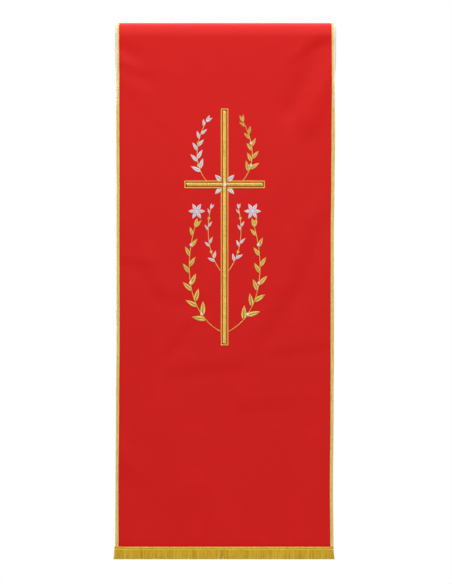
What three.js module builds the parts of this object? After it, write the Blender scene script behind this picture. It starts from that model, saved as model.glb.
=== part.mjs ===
// Lectern fall: one long strip of red cloth laid over a rail, so that a front layer and a rear layer
// hang from the fold. Gold braid runs along both long edges, a gold fringe is sewn across the front
// end, and a cross is embroidered on the front layer. Millimetres, +Z up, and the front faces -Y.
// The origin is on the underside of the fold, at mid-width, where the cloth sits on what carries it.
// A place on the cloth is given by "across", from its centre line, and "drop", below the fold's crest.

import * as THREE from "three";

// The cloth
const halfWidth = 250;
const clothThickness = 1.6;
const frontEnd = 1203;
const rearEnd = 1196;
const hemHeight = 18;
const hemStep = 0.8;
const hemFold = 1.4;

// The fold over the rail is half an ellipse in section
const foldHalfDepth = 20;
const foldHeight = 32;
const foldSteps = 14;

// The braid on the long edges lies on a strip without folds, whose outermost part curls back
const braidOverhang = 0.6;
const braidEdgeThickness = 0.7;
const braidThickness = 1.3;
const edgeStrip = 12;
const curlReach = 6;

// The embroidered cross
const crossTop = 196;
const crossFoot = 736;
const crossbarTop = 360;
const beamWidth = 18;
const crossHalfSpan = 92;
const crossThickness = 1.1;

// The fringe on the front end
const headingTop = 1195.3;
const headingHeight = 9.1;
const fringeEnd = 1223.7;
const strandCount = 190;
const strandWidth = 1.7;
const strandDepth = 1.4;
const unevenLean = 0.25;
const unevenCut = 0.3;
const headingOverhang = { left: 2.6, right: 1.2 };
const tipSpread = { left: 2.4, right: 2.3 };
const tipSpreadReach = 30;

// The heading's section, from its top at the back to its foot: two raised rows with a groove between
const headingSection = [
  { below: 0, depth: 0 },
  { below: 0, depth: 0.9 },
  { below: 1.9, depth: 2.0 },
  { below: 3.8, depth: 1.1 },
  { below: 6.2, depth: 2.3 },
];

// Sewn pieces lie this far apart, and the braid a little more, because it bends with the edge
const gap = 0.3;
const braidGap = 0.46;

// Grid spacing
const frontSpacing = 25;
const rearSpacing = 60;
const innerColumns = [38, 66];
const outerColumns = [118, 141, 165, 190, 216];

const finishes = {
  cloth: { color: 0xc92422, roughness: 0.75, metalness: 0 },
  braid: { color: 0xd8b968, roughness: 0.45, metalness: 0.6 },
  thread: { color: 0xd9b455, roughness: 0.4, metalness: 0.6 },
  fringe: { color: 0xbf9a2c, roughness: 0.5, metalness: 0.5 },
};

// Where the cloth's long edges lie, from the centre line, how wide the braid on them looks, and how
// far their outermost part curls back
const frontOutline = [
  { drop: 0, left: 249.0, right: 253.4, leftBraid: 8.0, rightBraid: 8.7, curl: 4.4 },
  { drop: 80, left: 248.5, right: 252.9, leftBraid: 7.9, rightBraid: 8.0, curl: 3.4 },
  { drop: 140, left: 246.6, right: 250.6, leftBraid: 6.5, rightBraid: 5.6, curl: 2.8 },
  { drop: 260, left: 246.4, right: 251.3, leftBraid: 6.3, rightBraid: 7.1, curl: 1.2 },
  { drop: 360, left: 245.8, right: 249.9, leftBraid: 6.1, rightBraid: 6.5, curl: 0.8 },
  { drop: 500, left: 245.7, right: 248.3, leftBraid: 5.9, rightBraid: 6.2, curl: 0.5 },
  { drop: 720, left: 245.5, right: 248.6, leftBraid: 6.1, rightBraid: 6.8, curl: 0.4 },
  { drop: 880, left: 246.7, right: 247.6, leftBraid: 5.9, rightBraid: 6.0, curl: 0.4 },
  { drop: 1060, left: 247.7, right: 246.3, leftBraid: 5.4, rightBraid: 6.2, curl: 0.4 },
  { drop: 1200, left: 248.4, right: 247.3, leftBraid: 6.4, rightBraid: 6.1, curl: 0.3 },
];
const rearOutline = [
  { drop: 0, left: 249.0, right: 253.4, leftBraid: 8.0, rightBraid: 8.7, curl: 4.4 },
  { drop: 200, left: 246.3, right: 250.5, leftBraid: 6.4, rightBraid: 6.8, curl: 1.4 },
  { drop: 1200, left: 245.8, right: 246.6, leftBraid: 6.2, rightBraid: 6.4, curl: 0.3 },
];

// The front layer's soft folds, each along a straight line that runs to the right. "ridge" is the
// height on the line, below 0 for a trough. "step" adds to the height below the line and takes as much
// away above it, so that the line itself faces upwards, or downwards where the step is below 0.
const frontFolds = [
  { name: "right shoulder", across: [172, 238], drop: [206, 62], spread: 32, ridge: 0, step: 8 },
  { name: "left shoulder, upper", across: [-256, -214], drop: [64, 88], spread: 22, ridge: 0, step: 3.4 },
  { name: "left shoulder, lower", across: [-250, -184], drop: [110, 146], spread: 22, ridge: 0, step: 2.0 },
  { name: "left middle, outer", across: [-256, -186], drop: [540, 550], spread: 18, ridge: 0, step: -1.1 },
  { name: "left middle, bend", across: [-184, -142], drop: [560, 622], spread: 26, ridge: 0, step: -1.5 },
  { name: "left middle, inner", across: [-142, -56], drop: [622, 630], spread: 24, ridge: 0, step: -1.1 },
  { name: "right middle, upper", across: [156, 214], drop: [600, 455], spread: 32, ridge: 0, step: -3.2 },
  { name: "right middle, lower", across: [76, 148], drop: [724, 622], spread: 28, ridge: 0, step: -2.2 },
  { name: "left of the foot", across: [-143, -80], drop: [760, 684], spread: 22, ridge: 0, step: -1.7 },
  { name: "below the foot", across: [-108, 20], drop: [796, 784], spread: 26, ridge: 0, step: -1.7 },
  { name: "right of the foot", across: [104, 222], drop: [754, 738], spread: 20, ridge: 0, step: -1.3 },
  { name: "low on the right", across: [51, 140], drop: [878, 868], spread: 24, ridge: 0, step: -1.1 },
  { name: "low at the left", across: [-262, -214], drop: [996, 1034], spread: 34, ridge: 0, step: -2.6 },
  { name: "low left swell", across: [-130, -90], drop: [930, 1060], spread: 70, ridge: 2.4, step: 0 },
];

// Broad upright waves of the rear layer, which deepen downwards
const rearWaves = [
  { length: 236, shift: 30, height: 2.6 },
  { length: 118, shift: -20, height: 0.9 },
];
const waveStart = 120;

const { clamp, lerp, smoothstep } = THREE.MathUtils;

// Reads one column of a table at a drop, easing from row to row.
function readTable(table, column, drop) {
  const next = table.findIndex((row) => row.drop > drop);
  if (next === -1) return table[table.length - 1][column];
  if (next === 0) return table[0][column];
  const above = table[next - 1];
  const below = table[next];
  return lerp(above[column], below[column], smoothstep(drop, above.drop, below.drop));
}

// How high a fold raises the cloth. It fades with the distance from the fold's line.
function foldRise(across, drop, fold) {
  const start = new THREE.Vector2(fold.across[0], fold.drop[0]);
  const run = new THREE.Vector2(fold.across[1], fold.drop[1]).sub(start);
  const offset = new THREE.Vector2(across, drop).sub(start);
  const share = clamp(offset.dot(run) / run.lengthSq(), 0, 1);
  const below = run.cross(offset) / run.length() / fold.spread;
  const away = offset.addScaledVector(run, -share).length() / fold.spread;
  return (fold.ridge + fold.step * below) * Math.exp(-away * away);
}

function frontRise(across, drop) {
  const sum = frontFolds.reduce((total, fold) => total + foldRise(across, drop, fold), 0);
  return sum * smoothstep(drop, foldHeight / 2, 2 * foldHeight);
}

function rearRise(across, drop) {
  const sum = rearWaves.reduce((total, wave) => {
    return total + wave.height * Math.cos((2 * Math.PI * (across - wave.shift)) / wave.length);
  }, 0);
  return sum * smoothstep(drop, waveStart, rearEnd);
}

function readOutline(column, station) {
  return readTable(station.front ? frontOutline : rearOutline, column, station.drop);
}

// How far the cloth stands out from its plain hanging section. The braid keeps the edge strip even.
function rise(across, station) {
  const inside = clamp(across, edgeStrip - halfWidth, halfWidth - edgeStrip);
  const folds = station.front ? frontRise(inside, station.drop) : rearRise(inside, station.drop);
  const curled = Math.max(0, Math.abs(across) - halfWidth + curlReach) / curlReach;
  return folds - readOutline("curl", station) * curled;
}

// The long edges wander sideways, and the centre line stays straight.
function sideways(across, station) {
  const shift = readOutline(across < 0 ? "left" : "right", station) - halfWidth;
  return across + Math.sign(across) * shift * (across / halfWidth) ** 2;
}

// A point on the cloth's middle surface, moved outwards by depth.
function clothPoint(across, station, depth) {
  const out = rise(across, station) + depth;
  return new THREE.Vector3(
    sideways(across, station),
    station.y + station.normalY * out,
    station.z + station.normalZ * out,
  );
}

// Stations are the rows of the grid, from the rear hem over the fold to the front end.
const crestHeight = clothThickness / 2;

function hangingStation(front, drop) {
  const side = front ? -1 : 1;
  return { front, drop, y: side * foldHalfDepth, z: crestHeight - drop, normalY: side, normalZ: 0 };
}

function foldStation(angle) {
  const normal = new THREE.Vector2(
    -Math.sin(angle) / foldHalfDepth,
    Math.cos(angle) / foldHeight,
  ).normalize();
  const drop = foldHeight * (1 - Math.cos(angle));
  return {
    front: angle > 0,
    drop,
    y: -foldHalfDepth * Math.sin(angle),
    z: crestHeight - drop,
    normalY: normal.x,
    normalZ: normal.y,
  };
}

// Drops from the first key to the last, with every key among them.
function dividedDrops(keys, spacing) {
  const drops = [keys[0]];
  for (let i = 1; i < keys.length; i += 1) {
    const steps = Math.max(1, Math.round((keys[i] - keys[i - 1]) / spacing));
    for (let n = 1; n <= steps; n += 1) {
      drops.push(lerp(keys[i - 1], keys[i], n / steps));
    }
  }
  return drops;
}

const crossbarBottom = crossbarTop + beamWidth;
const braidEnd = headingTop - gap;
const hemTop = rearEnd - hemHeight;
const frontKeys = [foldHeight, crossTop, crossbarTop, crossbarBottom, crossFoot, braidEnd, frontEnd];
const rearKeys = [foldHeight, hemTop - hemStep, hemTop, rearEnd];
const foldAngles = Array.from({ length: foldSteps - 1 }, (_, n) => {
  return ((n + 1) / foldSteps - 0.5) * Math.PI;
});
const stations = [
  ...dividedDrops(rearKeys, rearSpacing).reverse().map((drop) => hangingStation(false, drop)),
  ...foldAngles.map(foldStation),
  ...dividedDrops(frontKeys, frontSpacing).map((drop) => hangingStation(true, drop)),
];

const rightColumns = [
  beamWidth / 2,
  ...innerColumns,
  crossHalfSpan,
  ...outerColumns,
  halfWidth - edgeStrip,
  halfWidth - curlReach,
  halfWidth,
];
const columns = [...rightColumns.map((across) => -across).reverse(), ...rightColumns];

// Gathers points and triangles for one solid.
class SolidBuilder {
  constructor() {
    this.positions = [];
    this.index = [];
  }

  point(vector) {
    this.positions.push(vector.x, vector.y, vector.z);
    return this.positions.length / 3 - 1;
  }

  triangle(a, b, c) {
    this.index.push(a, b, c);
  }

  // A four-sided face: top left, bottom left, bottom right, top right, seen from outside.
  quad(a, b, c, d) {
    this.triangle(a, b, c);
    this.triangle(a, c, d);
  }

  geometry() {
    const geometry = new THREE.BufferGeometry();
    geometry.setAttribute("position", new THREE.Float32BufferAttribute(this.positions, 3));
    geometry.setIndex(this.index);
    geometry.computeVertexNormals();
    return geometry;
  }
}

// A layer of cells with an outer and an inner face, walled wherever a neighbour is missing.
// acrossAt(column, station) gives a column's place, and depths(column, station) gives how far the
// inner and the outer face lie from the cloth's middle there.
function layerGeometry(columnCount, acrossAt, stationList, depths, filled = () => true) {
  const builder = new SolidBuilder();
  const known = new Map();
  const corner = (side, i, j) => {
    const key = `${side},${i},${j}`;
    if (!known.has(key)) {
      const station = stationList[j];
      const depth = depths(i, station)[side];
      known.set(key, builder.point(clothPoint(acrossAt(i, station), station, depth)));
    }
    return known.get(key);
  };
  const has = (i, j) => {
    const inside = i >= 0 && j >= 0 && i < columnCount - 1 && j < stationList.length - 1;
    return inside && filled(i, j);
  };
  const face = (side, ...places) => {
    builder.quad(...places.map(([i, j]) => corner(side, i, j)));
  };
  const wall = (p, q) => {
    const [outerP, outerQ] = [corner("outer", ...p), corner("outer", ...q)];
    builder.quad(outerQ, outerP, corner("inner", ...p), corner("inner", ...q));
  };
  for (let j = 0; j < stationList.length - 1; j += 1) {
    for (let i = 0; i < columnCount - 1; i += 1) {
      if (!has(i, j)) continue;
      const [a, b, c, d] = [[i, j], [i, j + 1], [i + 1, j + 1], [i + 1, j]];
      face("outer", a, b, c, d);
      face("inner", a, d, c, b);
      if (!has(i - 1, j)) wall(a, b);
      if (!has(i, j + 1)) wall(b, c);
      if (!has(i + 1, j)) wall(c, d);
      if (!has(i, j - 1)) wall(d, a);
    }
  }
  return builder.geometry();
}

// The cloth, with the rear end turned in as a hem
function clothGeometry() {
  const depths = (i, station) => {
    const inHem = !station.front && station.drop >= hemTop;
    const inner = -clothThickness / 2 - (inHem ? hemFold : 0);
    return { inner, outer: clothThickness / 2 };
  };
  return layerGeometry(columns.length, (i) => columns[i], stations, depths);
}

const faceDepth = clothThickness / 2 + gap;

// One braid, domed, along the edge on the given side, -1 for left and 1 for right. It bends where
// the cloth's edge starts to curl.
function braidGeometry(side) {
  const widthColumn = side < 0 ? "leftBraid" : "rightBraid";
  const placesAt = (station) => [
    halfWidth - readOutline(widthColumn, station),
    halfWidth - curlReach,
    halfWidth + braidOverhang,
  ];
  const heights = [braidEdgeThickness, braidThickness, braidEdgeThickness];
  const outward = (i) => (side < 0 ? heights.length - 1 - i : i);
  const acrossAt = (i, station) => side * placesAt(station)[outward(i)];
  const inner = clothThickness / 2 + braidGap;
  const depths = (i) => ({ inner, outer: inner + heights[outward(i)] });
  const along = stations.filter((station) => !station.front || station.drop <= braidEnd);
  return layerGeometry(heights.length, acrossAt, along, depths);
}

// The cross takes the cloth's own cells, so it lies evenly on the folds
function crossGeometry() {
  const within = (value, low, high) => value > low && value < high;
  const filled = (i, j) => {
    if (!stations[j].front) return false;
    const across = Math.abs(columns[i] + columns[i + 1]) / 2;
    const drop = (stations[j].drop + stations[j + 1].drop) / 2;
    const upright = across < beamWidth / 2 && within(drop, crossTop, crossFoot);
    const crossbar = across < crossHalfSpan && within(drop, crossbarTop, crossbarBottom);
    return upright || crossbar;
  };
  const depths = () => ({ inner: faceDepth, outer: faceDepth + crossThickness });
  return layerGeometry(columns.length, (i) => columns[i], stations, depths, filled);
}

// Joins two lines of points that both run to the right, the upper one first.
function joinLines(builder, upper, lower) {
  let i = 0;
  let j = 0;
  while (i < upper.length - 1 || j < lower.length - 1) {
    const upperNext = i < upper.length - 1 ? upper[i + 1].x : Infinity;
    const lowerNext = j < lower.length - 1 ? lower[j + 1].x : Infinity;
    if (lowerNext <= upperNext) {
      builder.triangle(upper[i].id, lower[j].id, lower[j + 1].id);
      j += 1;
    } else {
      builder.triangle(upper[i].id, lower[j].id, upper[i + 1].id);
      i += 1;
    }
  }
}

function addFan(builder, hub, rim) {
  for (let n = 0; n < rim.length - 1; n += 1) {
    builder.triangle(hub.id, rim[n].id, rim[n + 1].id);
  }
}

// A bar of four sides and a closed tip. Both rings start at the front left and go round to the right.
function addBar(builder, roots, tips) {
  roots.forEach((root, k) => {
    const next = (k + 1) % roots.length;
    builder.quad(root.id, tips[k].id, tips[next].id, roots[next].id);
  });
  builder.quad(tips[0].id, tips[3].id, tips[2].id, tips[1].id);
}

// A number from -1 to 1 that looks uneven along a row
function uneven(n) {
  const [rate, slowRate] = [12.9898, 4.1414];
  return Math.sin(n * rate) * Math.cos(n * slowRate);
}

// The heading's back follows the cloth's front face, and its strands hang from its foot.
function fringeGeometry() {
  const builder = new SolidBuilder();
  const headingStation = hangingStation(true, headingTop);
  const leftEnd = sideways(-halfWidth, headingStation) - headingOverhang.left;
  const rightEnd = sideways(halfWidth, headingStation) + headingOverhang.right;
  const columnXs = columns.map((across) => sideways(across, headingStation));
  columnXs[0] = leftEnd;
  columnXs[columns.length - 1] = rightEnd;

  // The cloth's face is even between its columns, so a point on it is read from its two neighbours.
  const faceRise = (x, drop) => {
    const inside = clamp(x, leftEnd, rightEnd);
    const next = Math.max(1, columnXs.findIndex((value) => value >= inside));
    const station = hangingStation(true, Math.min(drop, frontEnd));
    const [fromRise, toRise] = [next - 1, next].map((n) => rise(columns[n], station));
    return lerp(fromRise, toRise, (inside - columnXs[next - 1]) / (columnXs[next] - columnXs[next - 1]));
  };
  const place = (x, drop, depth) => {
    const y = -(foldHalfDepth + faceRise(x, drop) + faceDepth + depth);
    return { x, id: builder.point(new THREE.Vector3(x, y, crestHeight - drop)) };
  };

  const pitch = (rightEnd - leftEnd) / strandCount;
  const strandXs = Array.from({ length: strandCount }, (_, n) => leftEnd + (n + 0.5) * pitch);
  const rootXs = strandXs.flatMap((x) => [x - strandWidth / 2, x + strandWidth / 2]);
  const footXs = [leftEnd, ...rootXs, rightEnd];
  const footDrop = headingTop + headingHeight;
  const footFront = footXs.map((x) => place(x, footDrop, strandDepth));
  const footBack = footXs.map((x) => place(x, footDrop, 0));

  const lines = headingSection.map(({ below, depth }) => {
    return columnXs.map((x) => place(x, headingTop + below, depth));
  });
  lines.push(footFront);
  for (let n = 0; n < lines.length - 1; n += 1) {
    joinLines(builder, lines[n], lines[n + 1]);
  }
  joinLines(builder, footBack, lines[0]);

  const [topLeft, ...leftRim] = [...lines, footBack].map((line) => line[0]);
  const [topRight, ...rightRim] = [...lines, footBack].map((line) => line[line.length - 1]);
  addFan(builder, topLeft, leftRim.reverse());
  addFan(builder, topRight, rightRim);

  // The heading's foot is closed between the strands, and open where a strand grows out of it.
  for (let n = 0; n < footXs.length - 1; n += 2) {
    builder.quad(footFront[n].id, footBack[n].id, footBack[n + 1].id, footFront[n + 1].id);
  }
  strandXs.forEach((x, n) => {
    const [left, right] = [2 * n + 1, 2 * n + 2];
    const roots = [footFront[left], footFront[right], footBack[right], footBack[left]];
    const leftLean = tipSpread.left * Math.exp((leftEnd - x) / tipSpreadReach);
    const rightLean = tipSpread.right * Math.exp((x - rightEnd) / tipSpreadReach);
    const lean = rightLean - leftLean + unevenLean * uneven(n);
    const tipDrop = fringeEnd - unevenCut * Math.abs(uneven(n + 0.5));
    const tips = roots.map((root, k) => place(root.x + lean, tipDrop, k < 2 ? strandDepth : 0));
    addBar(builder, roots, tips);
  });
  return builder.geometry();
}

function namedMesh(name, geometry, finish) {
  const mesh = new THREE.Mesh(geometry, new THREE.MeshStandardMaterial(finish));
  mesh.name = name;
  return mesh;
}

const lecternFall = new THREE.Group();
lecternFall.add(
  namedMesh("cloth", clothGeometry(), finishes.cloth),
  namedMesh("braid_left", braidGeometry(-1), finishes.braid),
  namedMesh("braid_right", braidGeometry(1), finishes.braid),
  namedMesh("cross", crossGeometry(), finishes.thread),
  namedMesh("fringe", fringeGeometry(), finishes.fringe),
);

export default lecternFall;
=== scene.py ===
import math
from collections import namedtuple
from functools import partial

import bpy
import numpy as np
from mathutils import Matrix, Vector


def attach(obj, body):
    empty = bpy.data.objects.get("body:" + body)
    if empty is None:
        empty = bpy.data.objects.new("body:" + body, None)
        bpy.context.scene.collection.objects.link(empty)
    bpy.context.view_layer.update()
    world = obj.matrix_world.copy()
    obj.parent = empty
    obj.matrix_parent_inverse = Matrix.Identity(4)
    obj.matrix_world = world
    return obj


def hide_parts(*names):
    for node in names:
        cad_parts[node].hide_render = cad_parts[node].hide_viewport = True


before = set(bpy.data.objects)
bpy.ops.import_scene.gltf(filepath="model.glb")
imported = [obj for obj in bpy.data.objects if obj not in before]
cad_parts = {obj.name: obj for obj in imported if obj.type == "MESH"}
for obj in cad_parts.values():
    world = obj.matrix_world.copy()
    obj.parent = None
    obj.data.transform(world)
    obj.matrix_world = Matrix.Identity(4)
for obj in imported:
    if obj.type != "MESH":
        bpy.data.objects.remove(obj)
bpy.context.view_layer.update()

# Dresses the lectern fall: the hanging sheet, the braid on its long edges, the embroidery on its front
# layer and the fringe across its front end. Sizes are millimetres until a mesh or a light is made.
# A place on the cloth is given by "across", from its centre line, and "along", the length of cloth
# from the fold's crest, above 0 on the front and below 0 on the rear. "drop" is the depth below the
# crest, and "depth" is how far a point lies outside the middle of the cloth.

MM = 0.001
BODY = "root"
SEED = 7

# The cloth, as its solid is made
HALF_WIDTH = 250.0
FRONT_END = 1203.0
REAR_END = 1196.0
HEM_HEIGHT = 18.0
HEM_STEP = 0.8
HEM_FOLD = 0.9
FOLD_HALF_DEPTH = 20.0
FOLD_HEIGHT = 32.0
CREST_HEIGHT = 0.8
EDGE_STRIP = 12.0
CURL_REACH = 6.0

# The sheet's two faces, from the middle of the cloth
OUTER_FACE = 0.8
INNER_FACE = -0.2

# Where the cloth's long edges lie, how wide the braid looks and how far the edge curls back. The
# first number of a row is the drop.
OUTLINE_COLUMNS = ["left", "right", "left_braid", "right_braid", "curl"]
FRONT_OUTLINE = [
    (0, 249.0, 253.4, 8.0, 8.7, 4.4),
    (80, 248.5, 252.9, 7.9, 8.0, 3.4),
    (140, 246.6, 250.6, 6.5, 5.6, 2.8),
    (260, 246.4, 251.3, 6.3, 7.1, 1.2),
    (360, 245.8, 249.9, 6.1, 6.5, 0.8),
    (500, 245.7, 248.3, 5.9, 6.2, 0.5),
    (720, 245.5, 248.6, 6.1, 6.8, 0.4),
    (880, 246.7, 247.6, 5.9, 6.0, 0.4),
    (1060, 247.7, 246.3, 5.4, 6.2, 0.4),
    (1200, 248.4, 247.3, 6.4, 6.1, 0.3),
]
REAR_OUTLINE = [
    FRONT_OUTLINE[0],
    (200, 246.3, 250.5, 6.4, 6.8, 1.4),
    (1200, 245.8, 246.6, 6.2, 6.4, 0.3),
]

# The front layer's soft folds, each along a straight line that runs to the right: its two ends across,
# its two ends in drop, and its spread. "step" adds to the height below the line and takes as much away
# above it, so that the line itself faces upwards, or downwards where the step is below 0. "ridge" is
# the height on the line.
Fold = namedtuple("Fold", "across drop spread step ridge", defaults=[0])
FRONT_FOLDS = [
    # On the right shoulder and the left one
    Fold((172, 238), (206, 62), 32, 8),
    Fold((-256, -214), (64, 88), 22, 3.4),
    Fold((-250, -184), (110, 146), 22, 2),
    # Half way down, on the left in three stretches and on the right in two
    Fold((-256, -186), (540, 550), 18, -1.1),
    Fold((-184, -142), (560, 622), 26, -1.5),
    Fold((-142, -56), (622, 630), 24, -1.1),
    Fold((156, 214), (600, 455), 32, -3.2),
    Fold((76, 148), (724, 622), 28, -2.2),
    # Round the foot of the cross
    Fold((-143, -80), (760, 684), 22, -1.7),
    Fold((-108, 20), (796, 784), 26, -1.7),
    Fold((104, 222), (754, 738), 20, -1.3),
    # Low down, the last a broad swell
    Fold((51, 140), (878, 868), 24, -1.1),
    Fold((-262, -214), (996, 1034), 34, -2.6),
    Fold((-130, -90), (930, 1060), 70, 0, 2.4),
    # Fine ones near the top, which are the sheet's alone
    Fold((-250, -225), (92, 97), 7, -0.45),
    Fold((-194, -126), (190, 254), 12, -0.45),
    Fold((-206, -150), (246, 296), 12, -0.3),
    Fold((8, 60), (187, 155), 11, 0.4),
    Fold((163, 222), (84, 28), 16, -1.5),
    Fold((179, 212), (217, 170), 12, -1),
    Fold((176, 232), (236, 96), 24, 1.5),
]

# The rear layer's broad waves, and the drop where they start
REAR_WAVES = [
    {"length": 236, "shift": 30, "height": 2.6},
    {"length": 118, "shift": -20, "height": 0.9},
]
WAVE_START = 120

# Sewing draws the cloth in, beside the braid and above the fringe
BRAID_DIP = {"away": 1.6, "spread": 1.7, "depth": 0.55}
FRINGE_DIP = {"drop": 1195.0, "spread": 4.5, "depth": 0.7}

# The embroidered cross
CROSS_TOP = 196.0
CROSS_FOOT = 736.0
CROSSBAR_TOP = 360.0
BEAM_WIDTH = 18.0
CROSS_HALF_SPAN = 92.0

# The fringe
HEADING_TOP = 1195.3
HEADING_HEIGHT = 9.1
FRINGE_END = 1223.7
HEADING_OVERHANG = {"left": 2.6, "right": 1.2}
TIP_SPREAD = {"left": 2.4, "right": 2.3}
TIP_SPREAD_REACH = 30.0


# Shapes of the hanging cloth


def ease(value, low, high):
    """0 below low, 1 above high, and a smooth step between."""
    share = np.clip((value - low) / (high - low), 0, 1)
    return share * share * (3 - 2 * share)


def read_table(table, column, drop):
    """One column of an outline table at each drop, easing from row to row."""
    drops, *others = np.array(table, float).T
    values = others[OUTLINE_COLUMNS.index(column)]
    place = np.interp(drop, drops, np.arange(len(drops)))
    above = np.clip(np.floor(place).astype(int), 0, len(drops) - 2)
    return values[above] + (values[above + 1] - values[above]) * ease(place - above, 0, 1)


def read_outline(column, drop, front):
    return np.where(front, read_table(FRONT_OUTLINE, column, drop), read_table(REAR_OUTLINE, column, drop))


def lengths_along(right, down):
    """How long a line of points is, up to each of them."""
    return np.concatenate([[0], np.cumsum(np.hypot(np.diff(right), np.diff(down)))])


# The fold over the rail is half an ellipse in section, measured here by its length from the crest.
FOLD_ANGLES = np.linspace(0, math.pi / 2, 181)
FOLD_LENGTHS = lengths_along(FOLD_HALF_DEPTH * np.sin(FOLD_ANGLES), FOLD_HEIGHT * np.cos(FOLD_ANGLES))
FOLD_LENGTH = FOLD_LENGTHS[-1]


def along_at(drop):
    """The length of cloth from the crest down to a drop."""
    angle = np.arccos(np.clip(1 - np.asarray(drop, float) / FOLD_HEIGHT, 0, 1))
    straight = np.maximum(np.asarray(drop, float) - FOLD_HEIGHT, 0)
    return np.interp(angle, FOLD_ANGLES, FOLD_LENGTHS) + straight


def section(along):
    """The plain hanging section: drop, y, z and the two parts of its outward direction."""
    side = np.where(along > 0, -1.0, 1.0)
    distance = np.abs(along)
    angle = np.interp(distance, FOLD_LENGTHS, FOLD_ANGLES)
    drop = FOLD_HEIGHT * (1 - np.cos(angle)) + np.maximum(distance - FOLD_LENGTH, 0)
    out_y = side * np.sin(angle) / FOLD_HALF_DEPTH
    out_z = np.cos(angle) / FOLD_HEIGHT
    size = np.hypot(out_y, out_z)
    return drop, side * FOLD_HALF_DEPTH * np.sin(angle), CREST_HEIGHT - drop, out_y / size, out_z / size


def fold_rise(across, drop, fold):
    """How high a fold raises the cloth. It fades with the distance from the fold's line."""
    run_across = fold.across[1] - fold.across[0]
    run_drop = fold.drop[1] - fold.drop[0]
    run_length = math.hypot(run_across, run_drop)
    right = across - fold.across[0]
    down = drop - fold.drop[0]
    share = np.clip((right * run_across + down * run_drop) / run_length**2, 0, 1)
    below = (run_across * down - run_drop * right) / run_length / fold.spread
    away = np.hypot(right - share * run_across, down - share * run_drop) / fold.spread
    return (fold.ridge + fold.step * below) * np.exp(-away * away)


def front_rise(across, drop):
    total = sum(fold_rise(across, drop, fold) for fold in FRONT_FOLDS)
    return total * ease(drop, FOLD_HEIGHT / 2, 2 * FOLD_HEIGHT)


def rear_rise(across, drop):
    total = 0.0
    for wave in REAR_WAVES:
        turn = 2 * math.pi * (across - wave["shift"]) / wave["length"]
        total = total + wave["height"] * np.cos(turn)
    return total * ease(drop, WAVE_START, REAR_END)


def rise(across, drop, front):
    """How far the cloth stands out from its plain section."""
    inside = np.clip(across, EDGE_STRIP - HALF_WIDTH, HALF_WIDTH - EDGE_STRIP)
    folds = np.where(front, front_rise(inside, drop), rear_rise(inside, drop))
    curled = np.maximum(0, np.abs(across) - HALF_WIDTH + CURL_REACH) / CURL_REACH
    return folds - read_outline("curl", drop, front) * curled


def read_side(across, columns, drop, front):
    """The first of two outline columns on the left of the cloth, and the second on the right."""
    left, right = (read_outline(column, drop, front) for column in columns)
    return np.where(across < 0, left, right)


def braid_width(across, drop, front):
    return read_side(across, ("left_braid", "right_braid"), drop, front)


def seam_dip(across, drop, front):
    """How far the sewing draws the cloth in."""
    seam = HALF_WIDTH - braid_width(across, drop, front) - BRAID_DIP["away"]
    beside = (np.abs(across) - seam) / BRAID_DIP["spread"]
    above = (drop - FRINGE_DIP["drop"]) / FRINGE_DIP["spread"]
    by_braid = BRAID_DIP["depth"] * np.exp(-beside * beside)
    by_fringe = FRINGE_DIP["depth"] * np.exp(-above * above) * front
    return by_braid + by_fringe


def same_shape(*values):
    return np.broadcast_arrays(*(np.asarray(value, float) for value in values))


def cloth_point(across, along, depth, sewn=False):
    """A point on the cloth. sewn adds what the sewing does to the sheet."""
    across, along, depth = same_shape(across, along, depth)
    front = along > 0
    drop, y, z, out_y, out_z = section(along)
    out = rise(across, drop, front) + depth
    if sewn:
        out = out - seam_dip(across, drop, front)
    edge = read_side(across, ("left", "right"), drop, front)
    shift = np.sign(across) * (edge - HALF_WIDTH) * (across / HALF_WIDTH) ** 2
    return np.stack([across + shift, y + out_y * out, z + out_z * out], axis=-1)


def unit(vectors):
    return vectors / np.maximum(np.linalg.norm(vectors, axis=-1, keepdims=True), 1e-9)


def cloth_normal(across, along):
    """The direction out of the cloth's outer face."""
    step = 0.5
    right = cloth_point(across + step, along, 0) - cloth_point(across - step, along, 0)
    down = cloth_point(across, along + step, 0) - cloth_point(across, along - step, 0)
    return unit(np.cross(down, right))


# Mesh building


def cells(grid):
    """The four corners of each cell in the last two directions of a grid."""
    corners = [grid[..., :-1, :-1], grid[..., 1:, :-1], grid[..., 1:, 1:], grid[..., :-1, 1:]]
    return np.stack(corners, axis=-1).reshape(-1, 4)


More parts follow.
